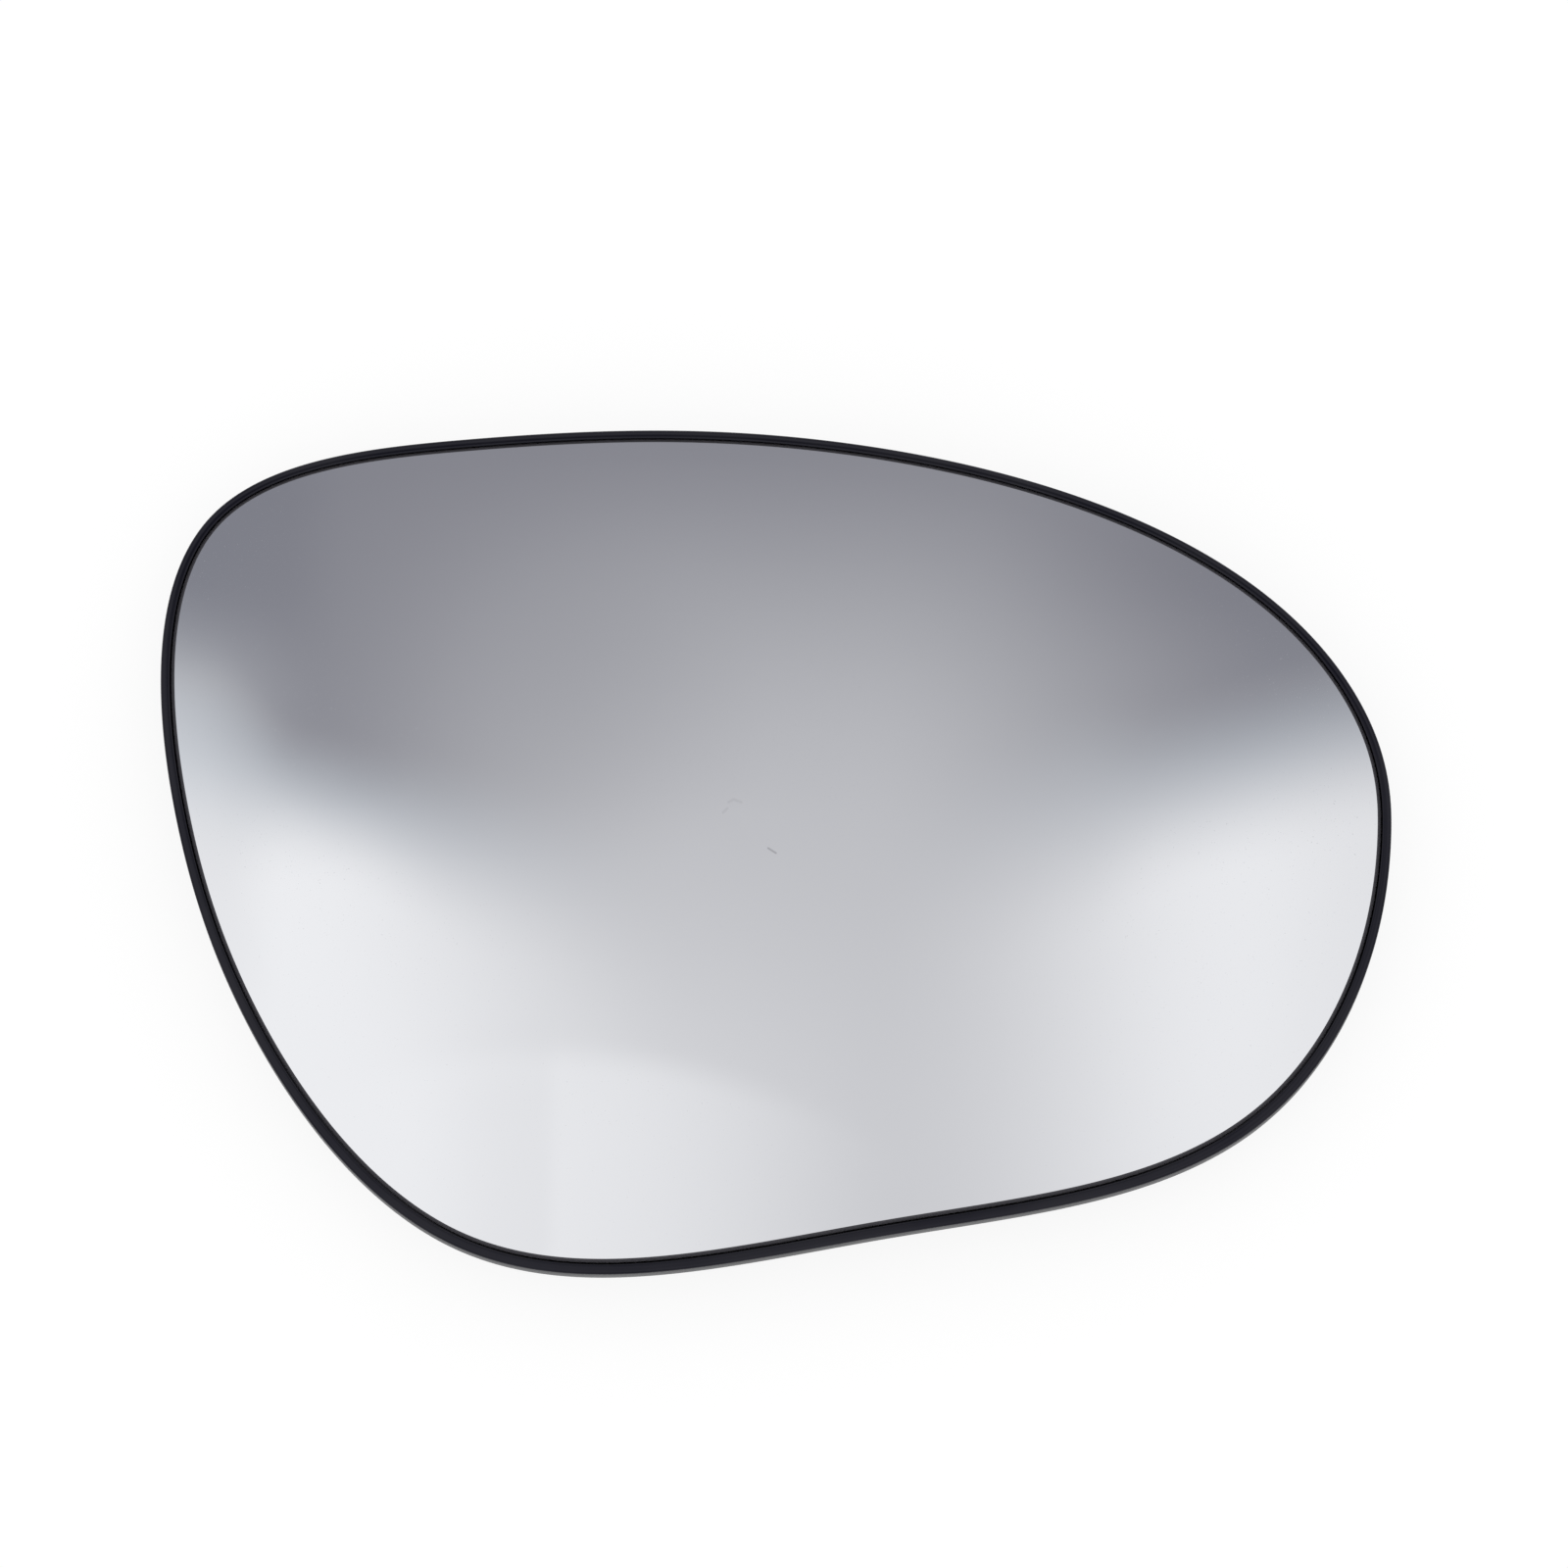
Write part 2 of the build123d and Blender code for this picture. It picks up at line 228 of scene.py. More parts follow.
class PlateSizes(bpy.types.PropertyGroup):
    """Rim, sheet and stiffening ribs of the backing plate."""

    sheet_thickness: length("Sheet thickness", 0.002, "Moulded sheet behind the heater foil")
    rim_width: length("Rim width", 0.0013, "Width of the rim around the pane, halfway up")
    recess_rise: length("Recess rise", 0.00012, "How much wider the rim is at its lowest than halfway up")
    rim_lip: length("Rim lip", 0.0004, "How far the rim stands in front of the glass")
    crown_width: length("Crown width", 0.0008, "How far the rim's front is rounded in from its outer edge")
    crown_drop: length("Crown drop", 0.0004, "How far the rounded front falls at the outer edge")
    inner_round: length("Inner round", 0.0002, "Inner front edge of the rim")
    back_round: length("Back round", 0.0003, "Outer back edge of the rim")
    rib_count: IntProperty(name="Ribs", description="Spokes from the clip ring", default=12, min=3)
    rib_thickness: length("Rib thickness", 0.0013, "Thickness of the spokes and the edge rib")
    rib_height: length("Rib height", 0.003, "Height of the ribs on the sheet's back")
    edge_rib_inset: length("Edge rib inset", 0.006, "Edge rib, from the rim's outer edge")
    gusset_length: length("Gusset length", 0.009, "Along the sheet, from the guard wall")
    gusset_height: length("Gusset height", 0.007, "Along the guard wall")
    edge_softness: length("Edge softness", 0.00018, "Rounding of the moulded edges")
    pin_size: length("Pin mark", 0.0045, "Across a mark of the mould's ejector pins")
    pin_depth: length("Pin mark depth", 0.00012, "Depth of the pin marks in the sheet's back")
    outer_pins: length("Outer pin marks", 0.0455, "Circle of the pin marks outside the clip ring")
    inner_pins: length("Inner pin marks", 0.021, "Circle of the pin marks inside the clip ring")


class RingSizes(bpy.types.PropertyGroup):
    """Clip ring on the back: a guard wall around a circle of claws."""

    depth: length("Depth", 0.010, "From the ring's free end to the sheet's back, on the axis")
    lip_radius: length("Lip radius", 0.030, "Circle on which the claws' lips hold the carrier disc")
    lip_depth: length("Lip depth", 0.001, "How far a lip reaches in")
    lip_land: length("Lip land", 0.0008, "Straight height of a lip")
    lip_lead: length("Lip lead-in", 0.001, "Height of the sloping lead-in below the land")
    shelf_rise: length("Shelf rise", 0.0003, "Slope of the lip's holding face")
    claw_count: IntProperty(name="Claws", description="Claws around the ring", default=8, min=3)
    claw_thickness: length("Claw thickness", 0.0012, "Wall of a claw")
    claw_angle: angle("Claw angle", 24, "Part of the circle taken by one claw")
    claw_setback: length("Claw setback", 0.0008, "Claw tip inside the ring's free end")
    claw_play: length("Claw play", 0.0014, "Room for a claw to bend outwards")
    window_clearance: length("Window clearance", 0.0003, "Around a lip, in the window above it")
    guard_wall: length("Guard wall", 0.0018, "Thickness of the guard wall")
    guard_round: length("Guard round", 0.0004, "Edges of the guard wall's free end")
    disc_flange: length("Disc flange", 0.0032, "Between the lips and the seat")
    seat_rib: length("Seat rib", 0.0014, "Thickness of the ribs that the disc seats on")
    hub_radius: length("Hub radius", 0.013, "Outside of the round rib in the middle")


class TerminalSizes(bpy.types.PropertyGroup):
    """Windows in the sheet for the heater's blade terminals."""

    place: spot("Place", (-0.050, 0.0), "Between the two blades, on the sheet")
    spacing: length("Spacing", 0.013, "Between the blades' middles")
    blade_width: length("Blade width", 0.0063, "Width of a blade and its foot")
    foot_length: length("Foot length", 0.0065, "Length of a foot along the foil")
    clearance: length("Clearance", 0.0012, "Around a foot, in its window")


class Finishes(bpy.types.PropertyGroup):
    """Colours of the pieces."""

    silver: colour("Silver", (0.848, 0.856, 0.882), "Silvered face of the glass")
    lint: colour("Lint", (0.36, 0.36, 0.38), "Dust and fibres on the glass")
    ground_edge: colour("Ground edge", (0.066, 0.064, 0.073), "Ground edge of the glass")
    rim: colour("Rim", (0.0018, 0.0018, 0.0045), "Black plastic of the smooth rim")
    # Painted light: the grained back is painted a lighter black than the rim, to bring out its form; the
    # plastic is one black.
    plastic: colour("Plastic", (0.026, 0.026, 0.0275), "Black plastic of the grained back")
    flow: colour("Flow marks", (0.02, 0.02, 0.021), "Where the plastic flowed in the mould")
    film: colour("Film", (0.55, 0.50, 0.40), "Polyester film of the heater")
    track: colour("Track", (0.045, 0.043, 0.042), "Printed heating tracks")
    tin: colour("Tin", (0.70, 0.69, 0.66), "Tinned terminals")
    brass: colour("Brass", (0.62, 0.55, 0.40), "Brass where the tin is thin")


class StageSettings(bpy.types.PropertyGroup):
    """Camera and studio."""

    tilt: angle("Tilt", 8.0, "Camera away from the glass's axis, towards its lower edge")
    distance: length("Distance", 2.0, "From the camera to the object")
    view_width: length("View width", 0.2268, "Width of the picture at the object")
    aim: spot("Aim", (0.00119, 0.01045), "Middle of the picture, right of and above the object's middle")
    floor_size: length("Floor size", 12.0, "Side of the square floor")
    floor_drop: length("Floor drop", 0.0002, "Floor below the ring's free end")


class Settings(bpy.types.PropertyGroup):
    """All the settings of the object and its studio."""

    pane: PointerProperty(type=PaneSizes)
    plate: PointerProperty(type=PlateSizes)
    ring: PointerProperty(type=RingSizes)
    terminal: PointerProperty(type=TerminalSizes)
    finish: PointerProperty(type=Finishes)
    stage: PointerProperty(type=StageSettings)


def sizes():
    """The scene's settings for this object."""
    return bpy.context.scene.mirror_glass


# Sizes that follow from the settings.
def layer(name):
    """Radius of the ball on which a face of the layers lies."""
    pane, plate = sizes().pane, sizes().plate
    pad_front = pane.glass_radius - pane.glass_thickness
    sheet_front = pad_front - pane.pad_thickness
    return {
        "rim_front": pane.glass_radius + plate.rim_lip,
        "glass_front": pane.glass_radius,
        "glass_back": pad_front,
        "sheet_front": sheet_front,
        "sheet_middle": sheet_front - plate.sheet_thickness / 2,
        "sheet_back": sheet_front - plate.sheet_thickness,
        "rib_back": sheet_front - plate.sheet_thickness - plate.rib_height,
    }[name]


def ball_height(radius, distance):
    """Height of a layer's ball at a distance from the ring's axis."""
    centre = sizes().ring.depth - layer("sheet_back")
    return centre + np.sqrt(radius**2 - np.square(distance))


def over_all():
    """A height above the whole part."""
    return 2 * sizes().ring.depth


def under_sheet():
    """A height clear of the sheet's back."""
    return sizes().ring.depth / 2


def ring_radius(name):
    """Radius of a wall of the clip ring."""
    ring = sizes().ring
    claw_inner = ring.lip_radius + ring.lip_depth
    claw_outer = claw_inner + ring.claw_thickness
    guard_inner = claw_outer + ring.claw_play
    return {
        "claw_inner": claw_inner,
        "claw_outer": claw_outer,
        "guard_inner": guard_inner,
        "guard_middle": guard_inner + ring.guard_wall / 2,
        "guard_outer": guard_inner + ring.guard_wall,
    }[name]


def lip_height(name):
    """Height of a corner of the claws' lips, or of the seat above them."""
    ring = sizes().ring
    land = ring.claw_setback + ring.lip_lead
    shelf = land + ring.lip_land
    shelf_root = shelf + ring.shelf_rise
    return {
        "land": land,
        "shelf": shelf,
        "shelf_root": shelf_root,
        "seat": shelf_root + ring.disc_flange,
    }[name]


# Outline and rings.
@lru_cache
def rim_outline():
    """Evenly spaced points on the rim's outer edge, and the inward normals there.

    The edge is the smooth cubic through the rim's points, with a given direction at its right-hand end.
    """
    points = np.array(RIM_POINTS + RIM_POINTS[:1])
    gaps = np.linalg.norm(np.diff(points, axis=0), axis=1)
    matrix = np.eye(len(points))
    wanted = np.tile(np.multiply(RIGHT_END_TANGENT, RIGHT_END_FULLNESS), (len(points), 1))
    for i in range(1, len(points) - 1):
        before, after = gaps[i - 1 : i + 1]
        matrix[i, i - 1 : i + 2] = after, 2 * (before + after), before
        step_in = (points[i] - points[i - 1]) * after / before
        step_out = (points[i + 1] - points[i]) * before / after
        wanted[i] = 3 * (step_in + step_out)
    slopes = np.linalg.solve(matrix, wanted)
    t = np.linspace(0, 1, GUIDE_STEPS, endpoint=False)[:, None]
    spans = []
    for i, gap in enumerate(gaps):
        start = (2 * t**3 - 3 * t**2 + 1) * points[i] + (t**3 - 2 * t**2 + t) * gap * slopes[i]
        end = (3 * t**2 - 2 * t**3) * points[i + 1] + (t**3 - t**2) * gap * slopes[i + 1]
        spans.append(start + end)
    guide = np.vstack([*spans, points[:1]])
    run = np.append(0, np.cumsum(np.linalg.norm(np.diff(guide, axis=0), axis=1)))
    even = np.linspace(0, run[-1], RIM_STEPS, endpoint=False)
    edge = np.column_stack([np.interp(even, run, guide[:, axis]) for axis in (0, 1)])
    ahead = np.roll(edge, -1, axis=0) - np.roll(edge, 1, axis=0)
    ahead /= np.linalg.norm(ahead, axis=1)[:, None]
    return edge, np.column_stack([-ahead[:, 1], ahead[:, 0]])


def inset_outline(inset):
    """Points inside the rim's outer edge at a distance."""
    edge, inward = rim_outline()
    return edge + inward * inset


def ring_at(inset, ball, share=1.0):
    """Ring of points on a ball, inside the rim's outer edge, drawn in to a share of its size."""
    flat = inset_outline(inset) * share
    return np.column_stack([flat, ball_height(ball, np.linalg.norm(flat, axis=1))])


def face_rings(inset, ball):
    """Rings that cover a ball from near the axis out to an inset."""
    return [ring_at(inset, ball, share) for share in np.arange(1, FACE_RINGS + 1) / FACE_RINGS]


def raised(rings, rise):
    """Rings moved towards the rim's upper edge."""
    return [ring + (0.0, rise, 0.0) for ring in rings]


def quarter(width, height):
    """Steps round a quarter oval: how far is left along its width, and how far its height has changed."""
    turns = np.linspace(0, math.pi / 2, ROUND_STEPS + 1)
    return [(width * (1 - math.sin(turn)), height * (1 - math.cos(turn))) for turn in turns]


def rounded_corners(middle, half_x, half_y, corner):
    """Outline of a rectangle with rounded corners."""
    outline = []
    for number, (side_x, side_y) in enumerate([(1, 1), (-1, 1), (-1, -1), (1, -1)]):
        for turn in (number + np.linspace(0, 1, ROUND_STEPS + 1)) * math.pi / 2:
            x = side_x * (half_x - corner) + corner * math.cos(turn)
            y = side_y * (half_y - corner) + corner * math.sin(turn)
            outline.append((middle[0] + x, middle[1] + y))
    return outline


# Meshes.
def new_object(name, data):
    """Object in the scene, at the origin."""
    made = bpy.data.objects.new(name, data)
    bpy.context.scene.collection.objects.link(made)
    return made


def mesh_of(name, points, faces):
    """Closed mesh with its faces turned outwards."""
    mesh = bpy.data.meshes.new(name)
    mesh.from_pydata([tuple(point) for point in points], [], faces)
    edit = bmesh.new()
    edit.from_mesh(mesh)
    bmesh.ops.recalc_face_normals(edit, faces=edit.faces)
    edit.to_mesh(mesh)
    edit.free()
    return mesh


def lofted(name, rings):
    """Closed mesh through rings of points, filled to the middle at both ends."""
    count = len(rings[0])
    points = np.vstack([*rings, rings[0].mean(axis=0), rings[-1].mean(axis=0)])
    here = np.arange(count)
    ahead = (here + 1) % count
    faces = []
    for row in range(len(rings) - 1):
        low, high = row * count, (row + 1) * count
        faces += np.column_stack([low + here, low + ahead, high + ahead, high + here]).tolist()
    first, last = len(points) - 2, len(points) - 1
    top = (len(rings) - 1) * count
    faces += [(first, int(a), int(b)) for a, b in zip(ahead, here)]
    faces += [(last, int(top + a), int(top + b)) for a, b in zip(here, ahead)]
    return mesh_of(name, points, faces)


def turned(name, profile, sweep):
    """Closed mesh: a profile of radius and height, turned about the axis through an angle centred on +X."""
    whole = sweep >= 2 * math.pi
    steps = TURN_STEPS if whole else math.ceil(sweep / ARC_STEP)
    turns = np.linspace(-sweep / 2, sweep / 2, steps + 1)[: steps + (not whole)]
    points = [(r * math.cos(turn), r * math.sin(turn), z) for turn in turns for r, z in profile]
    count = len(profile)
    faces = []
    for step in range(steps):
        low = step * count
        high = (step + 1) % len(turns) * count
        for k in range(count):
            after = (k + 1) % count
            faces.append((low + k, low + after, high + after, high + k))
    if not whole:
        faces.append(tuple(range(count)))
        faces.append(tuple(range(steps * count, (steps + 1) * count)))
    return mesh_of(name, points, faces)


def between(name, first, second):
    """Closed mesh between two outlines with as many points."""
    count = len(first)
    faces = [tuple(range(count)), tuple(range(count, 2 * count))]
    for k in range(count):
        after = (k + 1) % count
        faces.append((k, after, count + after, count + k))
    return mesh_of(name, [*first, *second], faces)


def slab(name, profile, thickness):
    """Closed mesh: a profile in the XZ plane, given a thickness along Y."""
    near, far = ([(x, y, z) for x, z in profile] for y in (-thickness / 2, thickness / 2))
    return between(name, near, far)


def prism(name, outline, low, high):
    """Closed mesh: an outline in the XY plane between two heights, each a number or one for each point."""
    count = len(outline)
    ends = [np.column_stack([outline, np.broadcast_to(height, count)]) for height in (low, high)]
    return between(name, *ends)


def softened(mesh, width):
    """Rounds the sharp edges of a mesh."""
    edit = bmesh.new()
    edit.from_mesh(mesh)
    bmesh.ops.bevel(
        edit,
        geom=[edge for edge in edit.edges if edge.calc_face_angle(0) > SHARP_ANGLE],
        offset=width,
        segments=SOFT_STEPS,
        profile=ROUND_PROFILE,
        affect="EDGES",
        clamp_overlap=True,
    )
    edit.to_mesh(mesh)
    edit.free()
    return mesh


def shaded(mesh):
    """Smooth shading, broken at sharp edges."""
    mesh.shade_smooth()
    mesh.set_sharp_from_angle(angle=SHARP_ANGLE)


# Node trees.
class Wire:
    """An output in a node tree. Arithmetic on wires adds Math nodes."""

    def __init__(self, tree, socket):
        self.tree = tree
        self.socket = socket

    def maths(self, operation, *values):
        """A Math node."""
        return self.tree.node("ShaderNodeMath", {"operation": operation}, dict(enumerate(values)))

    def __add__(self, other):
        return self.maths("ADD", self, other)

    def __radd__(self, other):
        return self.maths("ADD", other, self)

    def __sub__(self, other):
        return self.maths("SUBTRACT", self, other)

    def __rsub__(self, other):
        return self.maths("SUBTRACT", other, self)

    def __mul__(self, other):
        return self.maths("MULTIPLY", self, other)

    def __rmul__(self, other):
        return self.maths("MULTIPLY", other, self)

    def __truediv__(self, other):
        return self.maths("DIVIDE", self, other)

    def __rtruediv__(self, other):
        return self.maths("DIVIDE", other, self)

    def __abs__(self):
        return self.maths("ABSOLUTE", self)

    def cosine(self):
        """Cosine of an angle."""
        return self.maths("COSINE", self)

    def bearing(self, other):
        """Angle of a direction, whose two parts are this value and another."""
        return self.maths("ARCTAN2", other, self)

    def reach(self, other):
        """Length of a direction, whose two parts are this value and another."""
        return self.maths("SQRT", self * self + other * other)

    def beyond(self, limit):
        """1 above a limit, 0 below it."""
        return self.maths("GREATER_THAN", self, limit)

    def least(self, other):
        """The smaller of two values."""
        return self.maths("MINIMUM", self, other)

    def most(self, other):
        """The larger of two values."""
        return self.maths("MAXIMUM", self, other)

    def smooth(self, begin, whole):
        """From 0 where something begins to 1 where it is whole, on either side, with soft ends."""
        return self.tree.node(
            "ShaderNodeMapRange",
            {"interpolation_type": "SMOOTHSTEP"},
            {"Value": self, "From Min": begin, "From Max": whole},
        )

    def towards(self, other, share):
        """Moves to another value by a share."""
        return self + (other - self) * share


class Tree:
    """A node tree under construction."""

    def __init__(self, nodes):
        self.tree = nodes

    def node(self, kind, settings=None, inputs=None, output=0):
        """Adds a node, with its settings first and then the values or wires of its inputs."""
        made = self.tree.nodes.new(kind)
        for name, value in (settings or {}).items():
            setattr(made, name, value)
        for name, value in (inputs or {}).items():
            if isinstance(value, Wire):
                self.tree.links.new(value.socket, made.inputs[name])
            else:
                made.inputs[name].default_value = value
        return Wire(self, made.outputs[output]) if made.outputs else None

    def mix(self, factor, first, second, blend="MIX"):
        """A mix of two colours."""
        first, second = (each if isinstance(each, Wire) else (*each, 1.0) for each in (first, second))
        settings = {"data_type": "RGBA", "blend_type": blend}
        return self.node("ShaderNodeMix", settings, {"Factor": factor, "A": first, "B": second}, "Result")

    def parts(self, vector):
        """The three numbers of a vector."""
        made = self.node("ShaderNodeSeparateXYZ", None, {"Vector": vector})
        return [Wire(self, socket) for socket in made.socket.node.outputs]


class Finish(Tree):
    """A material under construction."""

    def __init__(self, name):
        self.material = bpy.data.materials.new(name)
        self.material.use_nodes = True
        super().__init__(self.material.node_tree)
        self.tree.nodes.clear()
        self.place = self.node("ShaderNodeTexCoord", output="Object")

    def noise(self, cells, detail=2.0, roughness=0.5):
        """Cloudy noise, with a number of cells in a metre."""
        values = {"Vector": self.place, "Scale": cells, "Detail": detail, "Roughness": roughness}
        return self.node("ShaderNodeTexNoise", None, values)

    def bump(self, height, distance, strength=1.0):
        """Normals of a surface raised by a height."""
        values = {"Height": height, "Distance": distance, "Strength": strength}
        return self.node("ShaderNodeBump", None, values)

    def surface(self, values):
        """The finished material."""
        shader = self.node("ShaderNodeBsdfPrincipled", None, values)
        self.node("ShaderNodeOutputMaterial", None, {"Surface": shader})
        return self.material


class Pattern(Tree):
    """A geometry node tree under construction, with named inputs."""

    def __init__(self, name):
        super().__init__(bpy.data.node_groups.new(name, "GeometryNodeTree"))
        self.source = self.tree.nodes.new("NodeGroupInput")
        self.inputs = {}

    def size(self, name, kind):
        """A named input of the tree."""
        made = self.tree.interface.new_socket(name, in_out="INPUT", socket_type=f"NodeSocket{kind}")
        self.inputs[name] = made.identifier
        return Wire(self, self.source.outputs[name])

    def ends_in(self, geometry, material):
        """Makes plain geometry of the result and gives it its material."""
        plain = self.node("GeometryNodeRealizeInstances", None, {"Geometry": geometry})
        made = self.node("GeometryNodeSetMaterial", None, {"Geometry": plain, "Material": material})
        self.tree.interface.new_socket("Geometry", in_out="OUTPUT", socket_type="NodeSocketGeometry")
        self.node("NodeGroupOutput", None, {"Geometry": made})

    def grown(self, name, values):
        """Object with the plain mesh that the tree makes of the given values."""
        made = new_object(name, bpy.data.meshes.new(name))
        modifier = made.modifiers.new(name, "NODES")
        modifier.node_group = self.tree
        for label, value in values.items():
            modifier[self.inputs[label]] = value
        return settled(made)


def settled(made):
    """Makes a plain mesh of an object's modifiers."""
    graph = bpy.context.evaluated_depsgraph_get()
    mesh = bpy.data.meshes.new_from_object(made.evaluated_get(graph))
    made.modifiers.clear()
    old = made.data
    made.data = mesh
    bpy.data.meshes.remove(old)
    mesh.name = made.name
    return made


def around_axis():
    """Tree that repeats a part at even steps around the ring's axis."""
    tree = Pattern("around_axis")
    part = tree.size("Part", "Object")
    count = tree.size("Count", "Int")
    start = tree.size("Start", "Float")
    material = tree.size("Material", "Material")
    points = tree.node("GeometryNodePoints", None, {"Count": count})
    number = tree.node("GeometryNodeInputIndex")
    turn = start + number * (2 * math.pi / count)
    rotation = tree.node("ShaderNodeCombineXYZ", None, {"Z": turn})
    shape = tree.node("GeometryNodeObjectInfo", None, {"Object": part, "As Instance": True}, "Geometry")
    copies = tree.node(
        "GeometryNodeInstanceOnPoints", None, {"Points": points, "Instance": shape, "Rotation": rotation}
    )
    tree.ends_in(copies, material)
    return tree


def along_path():
    """Tree that draws a rounded bar along a path."""
    tree = Pattern("along_path")
    path = tree.size("Path", "Object")
    width = tree.size("Width", "Float")
    height = tree.size("Height", "Float")
    softness = tree.size("Softness", "Float")
    material = tree.size("Material", "Material")
    curve = tree.node("GeometryNodeObjectInfo", None, {"Object": path}, "Geometry")
    upright = tree.node("GeometryNodeSetCurveNormal", {"mode": "Z_UP"}, {"Curve": curve})
    section = tree.node("GeometryNodeCurvePrimitiveQuadrilateral", None, {"Width": width, "Height": height})
    corners = {"Curve": section, "Radius": softness, "Count": SOFT_STEPS}
    rounded = tree.node("GeometryNodeFilletCurve", {"mode": "POLY"}, corners)
    bar = tree.node("GeometryNodeCurveToMesh", None, {"Curve": upright, "Profile Curve": rounded})
    tree.ends_in(bar, material)
    return tree


def path_of(name, points):
    """Closed path through points."""
    curve = bpy.data.curves.new(name, "CURVE")
    curve.dimensions = "3D"
    spline = curve.splines.new("POLY")
    spline.points.add(len(points) - 1)
    for point, place in zip(spline.points, points):
        point.co = (*place, 1.0)
    spline.use_cyclic_u = True
    return new_object(name, curve)


def repeated(tree, name, mesh, count, start, material):
    """Object with copies of a mesh around the ring's axis, the first at an angle of start."""
    part = new_object(mesh.name, mesh)
    made = tree.grown(name, {"Part": part, "Count": count, "Start": start, "Material": material})
    bpy.data.objects.remove(part)
    return made


def combined(made, operation, other):
    """Adds, cuts or keeps what another object covers, and removes that object."""
    modifier = made.modifiers.new(operation, "BOOLEAN")
    modifier.operation = operation
    modifier.solver = "MANIFOLD"
    modifier.object = other
    settled(made)
    if not made.data.polygons:
        raise RuntimeError(f"nothing is left of {made.name} after {operation.lower()} with {other.name}")
    bpy.data.objects.remove(other)
    return made


# Finishes.
def fibre(x, y, start, end, width):
    """Mask of a short straight fibre between two points on the glass."""
    run = (end[0] - start[0], end[1] - start[1])
    share = ((x - start[0]) * run[0] + (y - start[1]) * run[1]) / (run[0] ** 2 + run[1] ** 2)
    share = share.most(0.0).least(1.0)
    across_x, across_y = x - start[0] - share * run[0], y - start[1] - share * run[1]
    return across_x.reach(across_y).smooth(width, width / 4)


def silvered_glass():
    """Polished mirror with a trace of dust, wiping marks and a few fibres."""
    finish = Finish("silvered_glass")
    x, y, _ = finish.parts(finish.place)
    dust = finish.noise(cells=5200, detail=0).smooth(0.77, 0.85)
    wiped = finish.noise(cells=38, detail=4, roughness=0.6).smooth(0.45, 0.75)
    lint = CLEAR_FIBRE_SHADE * fibre(x, y, *CLEAR_FIBRE, CLEAR_FIBRE_WIDTH)
    for ends in FAINT_FIBRES:
        lint = lint.most(FAINT_FIBRE_SHADE * fibre(x, y, *ends, FAINT_FIBRE_WIDTH))
    marks = lint.most(dust * DUST_SHADE)
    return finish.surface({
        "Base Color": finish.mix(marks, sizes().finish.silver, sizes().finish.lint),
        "Metallic": 1.0,
        "Roughness": 0.025 + wiped * 0.02 + dust * 0.1,
    })


def ground_edge():
    """Ground edge of the glass, dark over the plate."""
    finish = Finish("ground_edge")
    grinding = finish.noise(cells=9000)
    tint = sizes().finish.ground_edge
    return finish.surface({
        "Base Color": finish.mix(grinding, tint, [GROUND_GLINT * channel for channel in tint]),
        "Roughness": 0.35 + grinding * 0.25,
        "Normal": finish.bump(grinding, distance=0.00002),
    })


def black_plastic():
    """Black moulding, smooth on the rim and with a fine spark-eroded grain on the back, whose black is
    painted lighter than the rim's as painted light that brings out its form.
    """
    finish = Finish("black_plastic")
    colours = sizes().finish
    _, _, facing = finish.parts(finish.node("ShaderNodeNewGeometry", output="Normal"))
    front = facing.smooth(*RIM_FRONT)
    x, y, z = finish.parts(finish.place)
    above_back = z + (x * x + y * y) / (2 * layer("sheet_back")) - sizes().ring.depth
    back = above_back.smooth(*GRAINED_BACK)
    grain = finish.noise(cells=2600, detail=3, roughness=0.6)
    flow = finish.noise(cells=60, detail=3).smooth(0.3, 0.7)
    gloss = RIM_SIDE_ROUGHNESS + (RIM_FRONT_ROUGHNESS - RIM_SIDE_ROUGHNESS) * front
    return finish.surface({
        # The mix by back paints the grained back a lighter black than the rim: painted light that brings out
        # its form.
        "Base Color": finish.mix(flow * 0.3, finish.mix(back, colours.rim, colours.plastic), colours.flow),
        "Roughness": gloss + grain * (0.05 + 0.15 * back) + flow * 0.04,
        "Specular IOR Level": 0.3,
        "Specular Tint": (0.84, 0.83, 1.0, 1.0),
        "Normal": finish.bump(grain * (0.15 + 0.85 * back), distance=0.00003, strength=0.6),
    })


def heater_film():
    """Polyester film with printed heating tracks."""
    finish = Finish("heater_film")
    bands = {"wave_type": "BANDS", "bands_direction": "Y"}
    wave = finish.node("ShaderNodeTexWave", bands, {"Vector": finish.place, "Scale": TRACK_SCALE})
    tracks = wave.smooth(*TRACK_EDGE)
    cloud = finish.noise(cells=900)
    return finish.surface({
        "Base Color": finish.mix(tracks, sizes().finish.film, sizes().finish.track),
        "Roughness": 0.28 + tracks * 0.3 + cloud * 0.1,
        "Normal": finish.bump(tracks, distance=0.00002),
    })


def tinned_brass():
    """Stamped brass with a dull tin coat."""
    finish = Finish("tinned_brass")
    cloud = finish.noise(cells=420, detail=3, roughness=0.6)
    scratches = finish.noise(cells=5000)
    return finish.surface({
        "Base Color": finish.mix(cloud.smooth(0.5, 0.8), sizes().finish.tin, sizes().finish.brass),
        "Metallic": 1.0,
        "Roughness": 0.24 + cloud * 0.12 + scratches * 0.08,
        "Normal": finish.bump(scratches, distance=0.00001),
    })


# Pieces.
def finished(made, slot, *nodes):
    """Puts a piece on the part, in place of its CAD nodes."""
    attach(made, "root")
    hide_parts(*nodes)


